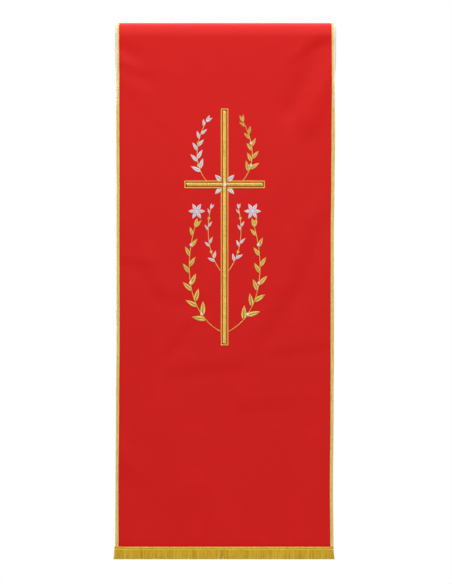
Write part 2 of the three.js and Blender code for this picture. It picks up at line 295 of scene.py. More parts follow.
class Gatherer:
    """Gathers four-sided faces for one piece, with a map in millimetres and a tone for each thread."""

    def __init__(self):
        self.parts = []
        self.count = 0

    def add(self, points, faces, maps, tones, finish):
        """points (n, 3), faces (m, 4), maps (m, 4, 2), tones (n), and the number of the material."""
        point_tones = np.broadcast_to(tones, len(points))
        finishes = np.full(len(faces), finish)
        self.parts.append((points, faces + self.count, maps, point_tones, finishes))
        self.count += len(points)

    def add_slab(self, outer, inner, maps):
        """A closed slab between two grids of points, with rows running down and columns right."""
        rows, columns = outer.shape[:2]
        corner = np.arange(rows * columns).reshape(rows, columns)
        front_faces = cells(corner)
        rim = np.concatenate([corner[:, 0], corner[-1, 1:], corner[-2::-1, -1], corner[0, -2:0:-1]])
        rim_next = np.roll(rim, -1)
        behind = rows * columns
        rim_faces = np.stack([rim_next, rim, rim + behind, rim_next + behind], axis=-1)
        faces = np.concatenate([front_faces, front_faces[:, ::-1] + behind, rim_faces])
        points = np.concatenate([outer.reshape(-1, 3), inner.reshape(-1, 3)])
        both_maps = np.concatenate([maps.reshape(-1, 2), maps.reshape(-1, 2)])
        self.add(points, faces, both_maps[faces], 0.5, 0)

    def add_threads(self, paths, normals, half_width, half_height, tones=0.5, sides=4, finish=0):
        """Closed tubes along paths (n, k, 3). normals point out of what the threads lie on."""
        number, steps = paths.shape[:2]
        tangents = unit(np.gradient(paths, axis=1))
        aside = unit(np.cross(tangents, np.broadcast_to(normals, paths.shape)))
        upward = np.cross(aside, tangents)
        turn = 2 * math.pi * np.arange(sides) / sides
        wide = np.broadcast_to(half_width, (number, steps))[:, :, None, None]
        high = np.broadcast_to(half_height, (number, steps))[:, :, None, None]
        rings = (
            paths[:, :, None, :]
            + aside[:, :, None, :] * wide * np.cos(turn)[:, None]
            + upward[:, :, None, :] * high * np.sin(turn)[:, None]
        )
        lengths = np.zeros((number, steps, 1))
        lengths[:, 1:, 0] = np.cumsum(np.linalg.norm(np.diff(paths, axis=1), axis=2), axis=1)

        # Places in the map, with one more round each ring than there are points
        around = np.arange(sides + 1)
        places = np.arange(number * steps * (sides + 1)).reshape(number, steps, sides + 1)
        corners = (places // (sides + 1) * sides + around % sides).ravel()
        place_maps = np.stack(np.broadcast_arrays(around / sides, lengths), axis=-1).reshape(-1, 2)
        faces = [cells(places)]
        for ring, order in [(0, 1), (steps - 1, -1)]:
            for k in range(1, sides - 2, 2):
                faces.append(places[:, ring, [0, k, k + 1, k + 2][::order]])
        faces = np.concatenate(faces)
        tones_by_point = np.repeat(np.broadcast_to(tones, number), steps * sides)
        self.add(rings.reshape(-1, 3), corners[faces], place_maps[faces], tones_by_point, finish)

    def build(self, name, materials):
        """Makes the object, in metres, with the named materials."""
        points, faces, maps, tones, finishes = (np.concatenate(part) for part in zip(*self.parts))
        mesh = bpy.data.meshes.new(name)
        mesh.vertices.add(len(points))
        mesh.vertices.foreach_set("co", (points * MM).astype(np.float32).ravel())
        mesh.loops.add(faces.size)
        mesh.loops.foreach_set("vertex_index", faces.astype(np.int32).ravel())
        mesh.polygons.add(len(faces))
        mesh.polygons.foreach_set("loop_start", np.arange(0, faces.size, 4, dtype=np.int32))
        mesh.polygons.foreach_set("material_index", finishes.astype(np.int32))
        mesh.polygons.foreach_set("use_smooth", np.full(len(faces), True))
        mesh.update(calc_edges=True)
        layer = mesh.uv_layers.new(name="cloth_map")
        layer.uv.foreach_set("vector", maps.astype(np.float32).ravel())
        tone = mesh.attributes.new("tone", "FLOAT", "POINT")
        tone.data.foreach_set("value", tones.astype(np.float32))
        for material in materials:
            mesh.materials.append(bpy.data.materials[material])
        piece = bpy.data.objects.new(name, mesh)
        bpy.context.collection.objects.link(piece)
        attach(piece, BODY)
        return piece


def add_cord(mesh, centre, normals, turns, radius, offset, plies=2, finish=0):
    """Plies twisted round a line of points. turns is how far the twist has gone at each of them."""
    aside = np.cross(unit(np.gradient(centre, axis=1)), normals)
    for ply in range(plies):
        turn = 2 * math.pi * (turns + ply / plies)[:, :, None]
        twist = offset * (aside * np.cos(turn) + normals * np.sin(turn))
        mesh.add_threads(centre + twist, normals, radius, radius, 0.6, finish=finish)


# Materials


def add_node(tree, kind, inputs=None, **settings):
    """Adds a node. inputs gives each socket a value, or the socket that it is linked to."""
    made = tree.nodes.new(kind)
    for key, value in settings.items():
        setattr(made, key, value)
    for socket, value in (inputs or {}).items():
        if isinstance(value, bpy.types.NodeSocket):
            tree.links.new(value, made.inputs[socket])
        else:
            made.inputs[socket].default_value = value
    return made


class Recipe:
    """A material with one main shader, and short ways to add nodes to it."""

    def __init__(self, name, settings):
        self.material = bpy.data.materials.new(name)
        self.material.use_nodes = True
        self.tree = self.material.node_tree
        self.shader = self.tree.nodes["Principled BSDF"]
        for socket, value in settings.items():
            self.shader.inputs[socket].default_value = value
        self.node = partial(add_node, self.tree)

    def math(self, operation, first, second=0.0):
        return self.node("ShaderNodeMath", {0: first, 1: second}, operation=operation).outputs[0]

    def plus(self, first, second, weight):
        """first, and second times weight."""
        return self.math("ADD", first, self.math("MULTIPLY", second, weight))

    def wave(self, length, pitch):
        return self.math("SINE", self.math("MULTIPLY", length, 2 * math.pi / pitch))

    def map_parts(self):
        """The two parts of the piece's map, in millimetres along it."""
        place = self.node("ShaderNodeUVMap", uv_map="cloth_map")
        parts = self.node("ShaderNodeSeparateXYZ", {0: place.outputs["UV"]})
        return parts.outputs["X"], parts.outputs["Y"]

    def noise(self, scale, detail, roughness):
        """Noise in the object's own space, in metres."""
        place = self.node("ShaderNodeTexCoord").outputs["Object"]
        inputs = {"Vector": place, "Scale": scale, "Detail": detail, "Roughness": roughness}
        return self.node("ShaderNodeTexNoise", inputs).outputs["Fac"]

    def between(self, share, low, high):
        """A value from low to high as share goes from 0 to 1."""
        return self.node("ShaderNodeMapRange", {"Value": share, "To Min": low, "To Max": high}).outputs[0]

    def ramp(self, share, stops):
        made = self.node("ShaderNodeValToRGB", {"Fac": share})
        elements = made.color_ramp.elements
        for element, (place, colour) in zip(elements, (stops[0], stops[-1])):
            element.position = place
            element.color = (*colour, 1)
        for place, colour in stops[1:-1]:
            elements.new(place).color = (*colour, 1)
        return made.outputs["Color"]

    def bump(self, height, strength, distance, after=None):
        inputs = {"Height": height, "Strength": strength, "Distance": distance}
        if after is not None:
            inputs["Normal"] = after
        return self.node("ShaderNodeBump", inputs).outputs["Normal"]

    def connect(self, socket, value):
        self.tree.links.new(value, self.shader.inputs[socket])


def cloth_material():
    """Fine polyester twill: diagonal ribs, uneven yarns and a soft, low sheen."""
    recipe = Recipe(
        "red_twill",
        {
            "Roughness": 0.6,
            "Specular IOR Level": 0.2,
            "Sheen Weight": 0.45,
            "Sheen Roughness": 0.25,
            "Sheen Tint": (0.86, 0.88, 1.0, 1),
        },
    )
    rib_pitch = 0.9
    yarn_pitch = 0.45
    across, along = recipe.map_parts()
    diagonal = recipe.math("ADD", across, along)
    weave = recipe.plus(recipe.wave(diagonal, rib_pitch), recipe.wave(across, yarn_pitch), 0.4)
    slub = recipe.noise(900.0, 3.0, 0.6)
    cloud = recipe.noise(16.0, 3.0, 0.55)
    mottle = recipe.math("ADD", recipe.between(slub, -0.35, 0.35), recipe.between(cloud, -0.65, 0.65))
    share = recipe.between(recipe.plus(mottle, weave, 0.1), 0.5, 1.0)
    red = recipe.ramp(
        share,
        [(0.0, (0.5, 0.0025, 0.0012)), (0.5, (0.58, 0.0035, 0.0018)), (1.0, (0.66, 0.005, 0.003))],
    )
    recipe.connect("Base Color", red)
    recipe.connect("Roughness", recipe.between(slub, 0.52, 0.68))
    handle = recipe.bump(recipe.noise(55.0, 2.0, 0.5), 0.5, 0.0006)
    recipe.connect("Normal", recipe.bump(weave, 0.35, 0.00006, handle))


def thread_material(name, dark, middle, light, roughness, metallic, twist_pitch):
    """Metallic thread: foil wound round a core, with a tone of its own for each thread."""
    recipe = Recipe(name, {"Metallic": metallic, "Anisotropic": 0.35})
    around, length = recipe.map_parts()
    foil = recipe.wave(recipe.plus(around, length, 1 / twist_pitch), 1.0)
    glint = recipe.noise(1400.0, 2.0, 0.6)
    tone = recipe.node("ShaderNodeAttribute", attribute_name="tone").outputs["Fac"]
    mixed = recipe.plus(recipe.math("MULTIPLY", tone, 0.6), glint, 0.4)
    share = recipe.plus(mixed, foil, 0.08)
    recipe.connect("Base Color", recipe.ramp(share, [(0.12, dark), (0.5, middle), (0.88, light)]))
    recipe.connect("Roughness", recipe.between(glint, roughness - 0.1, roughness + 0.14))
    recipe.connect("Normal", recipe.bump(foil, 0.5, 0.00009))


def sewing_thread_material(name, dark, light):
    """Plain spun sewing thread."""
    recipe = Recipe(name, {"Roughness": 0.7, "Sheen Weight": 0.2})
    around, length = recipe.map_parts()
    twist = recipe.wave(recipe.plus(around, length, 1.6), 1.0)
    fuzz = recipe.noise(2600.0, 2.0, 0.6)
    recipe.connect("Base Color", recipe.ramp(recipe.plus(fuzz, twist, 0.15), [(0.2, dark), (0.8, light)]))
    recipe.connect("Normal", recipe.bump(twist, 0.6, 0.00006))


# Metallic threads: their dark, middle and light tone, roughness, share of metal and twist pitch
METALLIC_THREADS = [
    ("braid_gold", (0.64, 0.46, 0.125), (0.85, 0.67, 0.23), (0.95, 0.83, 0.39), 0.45, 0.45, 0.9),
    # The pale braid gold is a painted highlight on the outer plaits by the top fold.
    ("braid_painted_highlight_gold", (0.66, 0.58, 0.5), (0.88, 0.82, 0.74), (0.97, 0.94, 0.9), 0.42, 0.2, 0.9),
    # The grey braid gold is painted shade along the outer cord by the top fold.
    ("braid_painted_shade_grey_gold", (0.3, 0.25, 0.2), (0.45, 0.38, 0.31), (0.6, 0.52, 0.43), 0.5, 0.1, 0.9),
    ("cross_gold", (0.48, 0.29, 0.03), (0.82, 0.64, 0.13), (0.96, 0.85, 0.32), 0.36, 0.6, 1.1),
    ("silver_thread", (0.54, 0.47, 0.5), (0.84, 0.81, 0.86), (0.97, 0.95, 1.0), 0.38, 0.3, 1.1),
    ("fringe_gold", (0.42, 0.23, 0.004), (0.72, 0.45, 0.02), (0.95, 0.72, 0.09), 0.5, 0.35, 1.6),
    ("heading_pale_gold", (0.58, 0.37, 0.025), (0.8, 0.56, 0.055), (0.93, 0.74, 0.15), 0.44, 0.3, 1.0),
    ("heading_yellow_gold", (0.68, 0.45, 0.012), (0.91, 0.68, 0.05), (0.98, 0.83, 0.18), 0.38, 0.4, 1.0),
    ("turned_end_gold", (0.5, 0.26, 0.004), (0.68, 0.4, 0.008), (0.8, 0.52, 0.03), 0.46, 0.45, 1.0),
]

cloth_material()
sewing_thread_material("red_sewing_thread", (0.3, 0.008, 0.008), (0.5, 0.02, 0.018))
for look in METALLIC_THREADS:
    thread_material(*look)


# The sheet

# Spacing of the sheet's columns by the long edges and between them, and of its rows on each stretch
SHEET_COLUMNS = {"edge": 1.2, "middle": 6.0}
SHEET_ROWS = {"hem": 4.5, "rear": 14.0, "fold": 2.4, "front": 6.0, "by_fringe": 1.6}


def spaced(start, end, spacing):
    """Places from start to end, both among them, about spacing apart."""
    return np.linspace(start, end, max(2, round(abs(end - start) / spacing) + 1))


def rows_over(start, end, spacing):
    """Rows from start on the rear to end on the front, which are closer round the fold."""
    bend = 2 * FOLD_LENGTH
    rear = spaced(start, -bend, spacing["rear"])
    fold = spaced(-bend, bend, spacing["fold"])[1:]
    return np.concatenate([rear, fold, spaced(bend, end, spacing["front"])[1:]])


def cloth_sheet():
    """One strip from the rear hem over the fold to the front end."""
    straight_half = HALF_WIDTH - CURL_REACH - EDGE_STRIP
    edge_columns = spaced(straight_half, HALF_WIDTH, SHEET_COLUMNS["edge"])[1:]
    middle_columns = spaced(-straight_half, straight_half, SHEET_COLUMNS["middle"])
    columns = np.concatenate([-edge_columns[::-1], middle_columns, edge_columns])
    rear_end = -along_at(REAR_END)
    hem_line = rear_end + HEM_HEIGHT
    front_end = along_at(FRONT_END)
    dip_start = along_at(FRINGE_DIP["drop"] - 2 * FRINGE_DIP["spread"])
    rows = np.concatenate(
        [
            spaced(rear_end, hem_line, SHEET_ROWS["hem"]),
            rows_over(hem_line + HEM_STEP, dip_start, SHEET_ROWS),
            spaced(dip_start, front_end, SHEET_ROWS["by_fringe"])[1:],
        ]
    )
    across, along = np.meshgrid(columns, rows)
    inner_depth = INNER_FACE - HEM_FOLD * (along <= hem_line)
    mesh = Gatherer()
    mesh.add_slab(
        cloth_point(across, along, OUTER_FACE, sewn=True),
        cloth_point(across, along, inner_depth, sewn=True),
        np.stack([across, along], axis=-1),
    )
    return mesh.build("cloth_sheet", ["red_twill"])


# Machine stitches: how long one is, the space to the next, and the thread's half width and height
Stitch = namedtuple("Stitch", "length space half_width half_height")
HEM_STITCH = Stitch(2.5, 0.7, 0.24, 0.18)
BRAID_STITCH = Stitch(3.2, 1.1, 0.26, 0.2)
HEADING_STITCH = Stitch(2.1, 1.3, 0.3, 0.22)


def stitch_places(start, end, stitch, share):
    """A row of places for each stitch along a line. share runs from 0 to 1 along a stitch."""
    starts = np.arange(start, end - stitch.length, stitch.length + stitch.space)
    return starts[:, None] + stitch.length * share


def hem_sewing():
    """One line of machine stitches along the top of the rear hem."""
    margin = 2.0
    sunk, bow = 0.12, 0.16
    along = -along_at(REAR_END) + HEM_HEIGHT - margin
    share = np.linspace(0, 1, 5)
    across = stitch_places(margin - HALF_WIDTH, HALF_WIDTH - margin, HEM_STITCH, share)
    depth = OUTER_FACE + sunk + bow * np.sin(math.pi * share)
    paths = cloth_point(across, along, depth, sewn=True)
    normals = cloth_normal(across, along)
    mesh = Gatherer()
    mesh.add_threads(paths, normals, HEM_STITCH.half_width, HEM_STITCH.half_height, sides=6)
    return mesh.build("hem_sewing", ["red_sewing_thread"])


# The braid


BRAID_OVERHANG = 0.6
BRAID_REAR = -along_at(REAR_END)
BRAID_FRONT = along_at(HEADING_TOP - 0.3)
BRAID_SEAT = OUTER_FACE + 0.06
GROUND_THICKNESS = 0.45
GROUND_ROWS = {"rear": 12.0, "fold": 2.5, "front": 8.0}

# The plaits: their spacing, their slant, how far the last ones stay from the braid's ends, how much
# they stray, how high they lie and swell, and their threads' size with its taper to the groove
CHEVRON_PITCH = 1.9
CHEVRON_RUN = 2.6
PLAIT_MARGIN = 0.5
PLAIT_WOBBLE = 0.08
PLAIT_HEIGHT = 0.52
PLAIT_SWELL = 0.42
PLAIT_HALF_WIDTH = 0.98
PLAIT_TAPER = np.array([0.7, 1, 1, 1, 0.75])

# The two rows of plaits: where each starts and ends across the braid, and its threads' half height
PLAIT_ROWS = [(0.02, 0.49, 0.5), (0.98, 0.51, 0.52)]

# The cord on the outer edge, of two twisted plies, and the finer one on the inner edge
EDGE_CORD = {"share": 0.99, "depth": 0.1, "radius": 0.45, "pitch": 5.2, "plies": 2}
INNER_CORD = {"share": 0.0, "depth": 0.25, "radius": 0.32, "pitch": 4.0, "plies": 1}
CORD_MARGIN = 0.3

# By the top fold the outer plaits are of pale thread, a painted highlight, and the outer cord is of
# grey gold, a painted shade along the edge. The lengths of cloth from the crest: up to the first all
# are so, and from the second no plait is.
PAINTED_LIGHT_REACH = {"fading": 110.0, "gone": 250.0}


def braid_point(side, share, along, depth):
    """share runs from 0 at the braid's inner edge to 1 at its outer edge."""
    width = braid_width(side, section(along)[0], along > 0) + BRAID_OVERHANG
    across = side * (HALF_WIDTH + BRAID_OVERHANG - width + share * width)
    return cloth_point(across, along, depth), cloth_normal(across, along)


def braid_ground(mesh, side):
    """The woven ground of the braid."""
    shares = np.linspace(0.02, 0.98, 7)[::side]
    share, along = np.meshgrid(shares, rows_over(BRAID_REAR, BRAID_FRONT, GROUND_ROWS))
    outer, _ = braid_point(side, share, along, BRAID_SEAT + GROUND_THICKNESS)
    inner, _ = braid_point(side, share, along, BRAID_SEAT)
    mesh.add_slab(outer, inner, np.stack([10 * share, along], axis=-1))


def braid_plaits(mesh, side, random):
    """Two rows of plaits, which slant up to the middle groove on the front."""
    past_end = 0.4 * CHEVRON_RUN
    starts = np.arange(BRAID_REAR - past_end, BRAID_FRONT + past_end, CHEVRON_PITCH)
    number = len(starts)
    step = np.linspace(0, 1, 5)
    height = BRAID_SEAT + PLAIT_HEIGHT + PLAIT_SWELL * np.sin(math.pi * step)
    for edge_share, groove_share, half_height in PLAIT_ROWS:
        wobble = random.normal(0, PLAIT_WOBBLE, (number, 1))
        share = edge_share + (groove_share - edge_share) * step
        along = starts[:, None] + wobble + CHEVRON_RUN * (0.5 - step)
        along = np.clip(along, BRAID_REAR + PLAIT_MARGIN, BRAID_FRONT - PLAIT_MARGIN)
        paths, normals = braid_point(side, share, along, height)
        tones = np.clip(random.normal(0.5, 0.12, number), 0, 1)
        # By the crest the outer plaits are of the pale braid gold, a painted highlight.
        chance = ease(np.abs(starts), PAINTED_LIGHT_REACH["fading"], PAINTED_LIGHT_REACH["gone"])
        painted_highlight = (random.random(number) > chance) & (edge_share > 0.5)
        wide = PLAIT_HALF_WIDTH * PLAIT_TAPER
        high = half_height * PLAIT_TAPER
        for chosen, finish in [(painted_highlight, 1), (~painted_highlight, 0)]:
            mesh.add_threads(paths[chosen], normals[chosen], wide, high, tones[chosen], finish=finish)


def braid_stitches(mesh, side):
    """Sewing stitches in the groove."""
    margin = 2.0
    share = np.linspace(0, 1, 3)
    along = stitch_places(BRAID_REAR + margin, BRAID_FRONT - margin, BRAID_STITCH, share)
    paths, normals = braid_point(side, 0.5, along, BRAID_SEAT + 0.62)
    mesh.add_threads(paths, normals, BRAID_STITCH.half_width, BRAID_STITCH.half_height, 0.1)


def braid_cords(mesh, side):
    points_per_turn = 6
    painted_shade_end = PAINTED_LIGHT_REACH["fading"]
    first, last = BRAID_REAR + CORD_MARGIN, BRAID_FRONT - CORD_MARGIN
    for cord, start, end, finish in [
        (EDGE_CORD, first, -painted_shade_end, 0),
        # By the crest the outer cord is of the grey braid gold, a painted shade along the edge.
        (EDGE_CORD, -painted_shade_end, painted_shade_end, 2),
        (EDGE_CORD, painted_shade_end, last, 0),
        (INNER_CORD, first, last, 0),
    ]:
        pitch, radius, plies = cord["pitch"], cord["radius"], cord["plies"]
        along = spaced(start, end, pitch / points_per_turn)[None, :]
        centre, normals = braid_point(side, cord["share"], along, BRAID_SEAT + cord["depth"])
        offset = 0.85 * radius * (plies > 1)
        add_cord(mesh, centre, normals, along / pitch, radius, offset, plies, finish)


def braid(side, name):
    """A flat braid of two rows of slanted plaits, with a twisted cord on its outer edge."""
    random = np.random.default_rng(SEED + (1 if side < 0 else 2))
    mesh = Gatherer()
    braid_ground(mesh, side)
    braid_plaits(mesh, side, random)
    braid_stitches(mesh, side)
    braid_cords(mesh, side)
    return mesh.build(name, ["braid_gold", "braid_painted_highlight_gold", "braid_painted_shade_grey_gold"])


# The embroidery


SATIN_PITCH = 0.55
SATIN_HALF = 0.34


def on_front(across, drop, height):
    """Points and outward directions above the front layer's face."""
    across, drop, height = same_shape(across, drop, height)
    along = along_at(drop)
    return cloth_point(across, along, OUTER_FACE + height), cloth_normal(across, along)


def satin(mesh, across, drop, height, random):
    """Threads side by side. across, drop and height give a grid with a row for each thread."""
    paths, normals = on_front(across, drop, height)
    number, steps = paths.shape[:2]
    tones = np.clip(random.normal(0.52, 0.16, number), 0, 1)
    taper = np.ones(steps)
    taper[[0, -1]] = 0.7
    mesh.add_threads(paths, normals, SATIN_HALF * taper, SATIN_HALF * 0.8 * taper, tones)


def cord_along(mesh, across, drop, radius, pitch, height):
    """Two plies twisted together, laid along a line of places on the front."""
    points_per_turn = 5
    lengths = lengths_along(across, drop)
    places = spaced(0, lengths[-1], pitch / points_per_turn)
    across = np.interp(places, lengths, across)[None, :]
    drop = np.interp(places, lengths, drop)[None, :]
    centre, normals = on_front(across, drop, height)
    add_cord(mesh, centre, normals, (places / pitch)[None, :], 0.56 * radius, 0.5 * radius)


BAND_HALF = 4.2
BORDER_AWAY = BEAM_WIDTH / 2 - 1.5
BORDER_RADIUS = 1.3
BORDER_PITCH = 3.2
BORDER_HEIGHT = 0.75
CROSSBAR_MIDDLE = CROSSBAR_TOP + BEAM_WIDTH / 2


def cross_embroidery():
    """Padded satin stitch across each beam, with a twisted cord along the whole outline."""
    random = np.random.default_rng(SEED + 3)
    mesh = Gatherer()
    share = np.linspace(-1, 1, 7)
    dome = 0.25 + 1.15 * np.sqrt(np.clip(1 - (share * 0.97) ** 2, 0, 1))
    slant = 1.3
    inset = BEAM_WIDTH / 2 - BAND_HALF

    upright = np.arange(CROSS_TOP + inset, CROSS_FOOT - inset, SATIN_PITCH)[:, None]
    satin(mesh, BAND_HALF * share, upright + slant * share, dome, random)
    for side in (-1, 1):
        arm = side * np.arange(BAND_HALF + 0.5, CROSS_HALF_SPAN - inset, SATIN_PITCH)[:, None]
        satin(mesh, arm + slant * share, CROSSBAR_MIDDLE + BAND_HALF * share, dome, random)

    # The crossing is filled with a small square of slanting stitches
    square = np.arange(-BAND_HALF, BAND_HALF, SATIN_PITCH)[:, None]
    level = CROSSBAR_MIDDLE + square + 0.35 * BAND_HALF * share
    satin(mesh, BAND_HALF * share, level, dome + 0.3, random)

    # The outline, from the top left corner round to the right and back
    half = BORDER_AWAY
    top, foot = CROSS_TOP + 1, CROSS_FOOT - 1
    bar_top, bar_foot = CROSSBAR_MIDDLE - half, CROSSBAR_MIDDLE + half
    arm_end = CROSS_HALF_SPAN - 1
    upper = [(half, top), (half, bar_top), (arm_end, bar_top)]
    lower = [(arm_end, bar_foot), (half, bar_foot), (half, foot)]
    right = upper + lower
    left = [(-across, drop) for across, drop in reversed(right)]
    across, drop = np.array([left[-1], *right, *left], float).T
    cord_along(mesh, across, drop, BORDER_RADIUS, BORDER_PITCH, BORDER_HEIGHT)
    return mesh.build("cross_embroidery", ["cross_gold"])


def curve_points(handles):
    """Points on a cubic curve with four handles, each given as (across, drop)."""
    t = np.linspace(0, 1, 60)[:, None]
    a, b, c, d = np.array(handles, float)
    return (1 - t) ** 3 * a + 3 * t * (1 - t) ** 2 * b + 3 * t**2 * (1 - t) * c + t**3 * d


def leaf(mesh, base, angle, length, half_width, random):
    """A pointed leaf of satin stitches that slant from its vein out to its edge. angle is from
    straight up, to the right."""
    vein = 0.35
    direction = np.array([math.sin(angle), -math.cos(angle)])
    sideways = np.array([math.cos(angle), math.sin(angle)])
    starts = np.arange(0.02, 0.93, SATIN_PITCH / length)[:, None]
    reach = np.clip(starts + 0.14, 0, 1)
    edge = half_width * np.sin(math.pi * reach**0.8) ** 0.9
    step = np.linspace(0, 1, 4)
    height = 0.25 + 0.65 * np.sin(math.pi * (0.1 + 0.85 * step))
    for side in (-1, 1):
        forward = length * (starts + (reach - starts) * step)
        out = side * (vein + np.maximum(edge - vein, 0.1) * step)
        across = base[0] + forward * direction[0] + out * sideways[0]
        drop = base[1] + forward * direction[1] + out * sideways[1]
        satin(mesh, across, drop, height, random)


def berry(mesh, centre, radius, random, raised=0.0):
    """A round padded spot of level stitches."""
    rows = np.arange(-radius + 0.3, radius - 0.2, SATIN_PITCH)[:, None]
    share = np.linspace(-1, 1, 5)
    chord = np.sqrt(radius**2 - rows**2)
    across = centre[0] + chord * share
    drop = centre[1] + rows
    away = ((chord * share) ** 2 + rows**2) / radius**2
    height = raised + 0.25 + np.sqrt(np.clip(1 - 0.95 * away, 0, 1))
    satin(mesh, across, drop, height, random)


# Sprays of leaves: the four handles of the curved stem on the right, as (across, drop), how many pairs
# of leaves it has, its longest leaf, and the leaves' thread on the left, where it is mirrored, and right
Spray = namedtuple("Spray", "stem pairs leaf left right")
SPRAYS = [
    Spray([(9, 704), (80, 668), (96, 566), (68, 466)], 6, 35, "gold", "gold"),
    Spray([(9, 566), (36, 530), (44, 480), (32, 424)], 4, 20, "silver", "silver"),
    Spray([(42, 360), (70, 326), (70, 278), (42, 226)], 5, 27, "silver", "gold"),
]

# Blossoms: their centre, how many petals they have, how far out the petals start, how long they are,
# and the radius of the berry and how far it is raised. The last one lies over the cross.
Blossom = namedtuple("Blossom", "centre petals start length berry raised")
BLOSSOMS = [
    Blossom((-64, 430), 6, 3.0, 16.0, 4.2, 0.0),
    Blossom((64, 430), 6, 3.0, 16.0, 4.2, 0.0),
    Blossom((0, CROSSBAR_MIDDLE), 4, 11.6, 19.0, 4.4, 1.2),
]
LEAF_SPREAD = math.radians(36)
LEAF_WIDTH = 0.17
PETAL_WIDTH = 0.25
STEM_RADIUS = 0.85
STEM_PITCH = 2.8
BERRY_RADIUS = 3.4


def add_spray(stem, leaves, berries, points, spray, random):
    """One spray along the points of its stem. The first three are the meshes of its threads."""
    cord_along(stem, points[:, 0], points[:, 1], STEM_RADIUS, STEM_PITCH, 0.5)
    steps = np.gradient(points, axis=0)
    headings = np.arctan2(steps[:, 0], -steps[:, 1])
    last = len(points) - 1
    for pair in range(spray.pairs):
        share = 0.18 + 0.76 * pair / (spray.pairs - 1)
        size = spray.leaf * (1.0 - 0.42 * share)
        for side, late in ((-1, 0.0), (1, 0.06)):
            index = min(last, round((share + late) * last))
            angle = headings[index] + side * LEAF_SPREAD * (1.1 - 0.3 * share)
            leaf(leaves, points[index], angle, size, size * LEAF_WIDTH, random)
        if pair % 2 == 1:
            berry(berries, points[round((share - 0.07) * last)], BERRY_RADIUS, random)
    leaf(leaves, points[-1], headings[-1], spray.leaf * 0.6, spray.leaf * 0.11, random)


def sprays():
    """Leafy sprays, blossoms and berries in gold and silver thread."""
    random = np.random.default_rng(SEED + 4)
    gold = Gatherer()
    silver = Gatherer()
    for spray in SPRAYS:
        for side, thread in ((-1, spray.left), (1, spray.right)):
            points = curve_points(spray.stem) * (side, 1)
            leaves, berries = (gold, silver) if thread == "gold" else (silver, gold)
            add_spray(gold, leaves, berries, points, spray, random)
    for blossom in BLOSSOMS:
        for petal in range(blossom.petals):
            angle = 2 * math.pi * (petal + 0.5) / blossom.petals
            start = blossom.centre + blossom.start * np.array([math.sin(angle), -math.cos(angle)])
            leaf(silver, start, angle, blossom.length, blossom.length * PETAL_WIDTH, random)
        berry(silver, blossom.centre, blossom.berry, random, blossom.raised)
    return gold.build("sprays_gold", ["cross_gold"]), silver.build("sprays_silver", ["silver_thread"])


# The fringe


def heading_ends():
    along = along_at(HEADING_TOP)
    left = cloth_point(-HALF_WIDTH, along, 0)[0] - HEADING_OVERHANG["left"]
    right = cloth_point(HALF_WIDTH, along, 0)[0] + HEADING_OVERHANG["right"]
    return float(left), float(right)


HEADING_LEFT, HEADING_RIGHT = heading_ends()

# The groove between the heading's two rows and the foot of the lower one, below the heading's top.
# The threads hang over the rest of the tape.
GROOVE = 4.0
ROW_FOOT = 7.2

# The two wrapped rows: their top and foot below the heading's top, how high they rise, and the slant
# and half width of their threads
WRAP_PITCH = 1.25
WRAPPED_ROWS = [
    {"top": 0.25, "foot": GROOVE - 0.35, "crest": 1.75, "slant": 1.5, "half": 0.72, "finish": 0},
    {"top": GROOVE + 0.45, "foot": ROW_FOOT, "crest": 2.15, "slant": -0.9, "half": 0.74, "finish": 1},
]


def fringe_point(x, drop, depth):
    """A point on the fringe, depth in front of the cloth's face. The cloth's folds carry it."""
    x, drop, depth = same_shape(x, drop, depth)
    inside = np.clip(x, EDGE_STRIP - HALF_WIDTH, HALF_WIDTH - EDGE_STRIP)
    held = np.minimum(drop, FRONT_END)
    y = -(FOLD_HALF_DEPTH + front_rise(inside, held) + OUTER_FACE + depth)
    return np.stack([x, y, CREST_HEIGHT - drop], axis=-1)


OUT = np.array([0.0, -1.0, 0.0])


def wrapped_row(mesh, row, random):
    """Threads wound over a level core, side by side along the heading."""
    starts = np.arange(HEADING_LEFT + 0.6, HEADING_RIGHT - 0.4, WRAP_PITCH)[:, None]
    share = np.linspace(0, 1, 6)
    x = np.clip(starts + row["slant"] * (share - 0.5), HEADING_LEFT, HEADING_RIGHT)
    drop = HEADING_TOP + row["top"] + (row["foot"] - row["top"]) * share
    edge_depth = 0.5
    depth = edge_depth + (row["crest"] - edge_depth) * np.sin(math.pi * share)
    paths = fringe_point(x, drop, depth)
    tones = np.clip(random.normal(0.55, 0.2, len(starts)), 0, 1)
    mesh.add_threads(paths, OUT, row["half"], row["half"] * 0.7, tones, finish=row["finish"])


def turned_end(mesh, inner_x, outer_x, top, foot, random):
    """The end of the heading tape, turned under: level threads that bend round to the back."""
    threads = 9
    drops = np.linspace(top, foot, threads)[:, None]
    side = math.copysign(1, outer_x - inner_x)
    bend = 1.1
    share = np.linspace(0, 1, 9)
    stops = [0, 0.08, 0.85, 0.93, 1]
    run = np.interp(share, stops, [0, 0.06, 1, 1, 1])
    turned = np.interp(share, stops, [0, 0, 0, 1, 0.9])
    lift = np.interp(share, stops, [0.9, 1.6, 1.65, 1.1, 0.3])
    x = inner_x + (outer_x - side * bend - inner_x) * run + side * bend * turned
    across_tape = np.sin(math.pi * (drops - top + 0.8) / (foot - top + 1.6))
    depth = lift * (0.72 + 0.38 * across_tape)
    paths = fringe_point(x, drops, depth)
    tones = np.clip(random.normal(0.5, 0.1, threads), 0, 1)
    half = 0.62 * (foot - top) / (threads - 1)
    mesh.add_threads(paths, OUT, half, 0.42, tones, finish=3)


